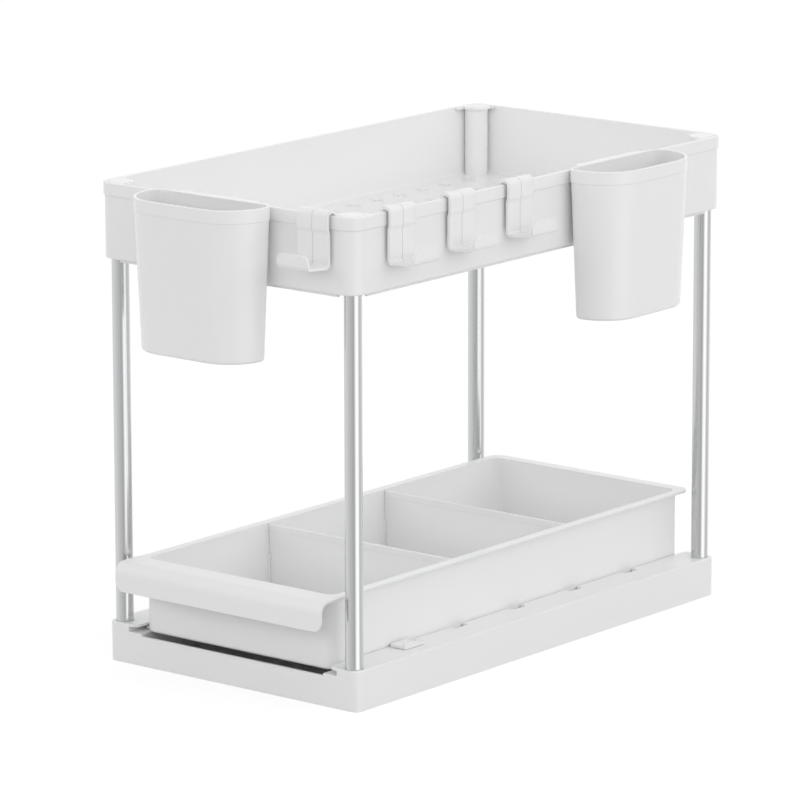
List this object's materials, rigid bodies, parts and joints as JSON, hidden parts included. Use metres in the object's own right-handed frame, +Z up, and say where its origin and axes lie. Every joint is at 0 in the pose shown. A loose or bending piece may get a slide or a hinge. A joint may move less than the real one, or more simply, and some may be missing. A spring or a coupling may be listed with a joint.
{
  "type": "under sink organizer",
  "caption": "Two-tier under sink organizer: a sliding divided drawer in a base tray, an upper basket on steel tubes, hanging cups and hooks.",
  "frame": {"origin": "centre of the base's underside, which stands on the cupboard's floor", "axes": "+Z up, -Y out of the front, where the drawer's handle is, +X to the right side"},
  "size_m": [0.2653, 0.4513, 0.3347],
  "materials": {
    "white_plastic": "satin",
    "steel": "polished"
  },
  "bodies": {
    "frame": {"base": "white_plastic", "tube_front_left": "steel", "tube_front_right": "steel", "tube_back_left": "steel", "tube_back_right": "steel", "basket": "white_plastic", "cap_front_left": "white_plastic", "cap_front_right": "white_plastic", "cap_back_left": "white_plastic", "cap_back_right": "white_plastic", "stop_clip_left": "white_plastic", "stop_clip_right": "white_plastic"},
    "drawer": {"drawer": "white_plastic"},
    "divider_front": {"divider_front": "white_plastic"},
    "divider_back": {"divider_back": "white_plastic"},
    "cup_front": {"cup_front": "white_plastic"},
    "cup_side": {"cup_side": "white_plastic"},
    "hook_front": {"hook_front": "white_plastic"},
    "hook_side_1": {"hook_side_1": "white_plastic"},
    "hook_side_2": {"hook_side_2": "white_plastic"},
    "hook_side_3": {"hook_side_3": "white_plastic"}
  },
  "joints": [
    {"name": "drawer_slide", "type": "slide", "parent": "frame", "child": "drawer", "axis": [0, -1, 0], "range_m": [0, 0.299]},
    {"name": "divider_front_lift", "type": "slide", "parent": "drawer", "child": "divider_front", "axis": [0, 0, 1], "range_m": [0, 0.08]},
    {"name": "divider_back_lift", "type": "slide", "parent": "drawer", "child": "divider_back", "axis": [0, 0, 1], "range_m": [0, 0.08]},
    {"name": "cup_front_lift", "type": "slide", "parent": "frame", "child": "cup_front", "axis": [0, 0, 1], "range_m": [0, 0.12]},
    {"name": "cup_side_lift", "type": "slide", "parent": "frame", "child": "cup_side", "axis": [0, 0, 1], "range_m": [0, 0.12]},
    {"name": "hook_front_lift", "type": "slide", "parent": "frame", "child": "hook_front", "axis": [0, 0, 1], "range_m": [0, 0.07]},
    {"name": "hook_side_1_lift", "type": "slide", "parent": "frame", "child": "hook_side_1", "axis": [0, 0, 1], "range_m": [0, 0.07]},
    {"name": "hook_side_2_lift", "type": "slide", "parent": "frame", "child": "hook_side_2", "axis": [0, 0, 1], "range_m": [0, 0.07]},
    {"name": "hook_side_3_lift", "type": "slide", "parent": "frame", "child": "hook_side_3", "axis": [0, 0, 1], "range_m": [0, 0.07]}
  ]
}
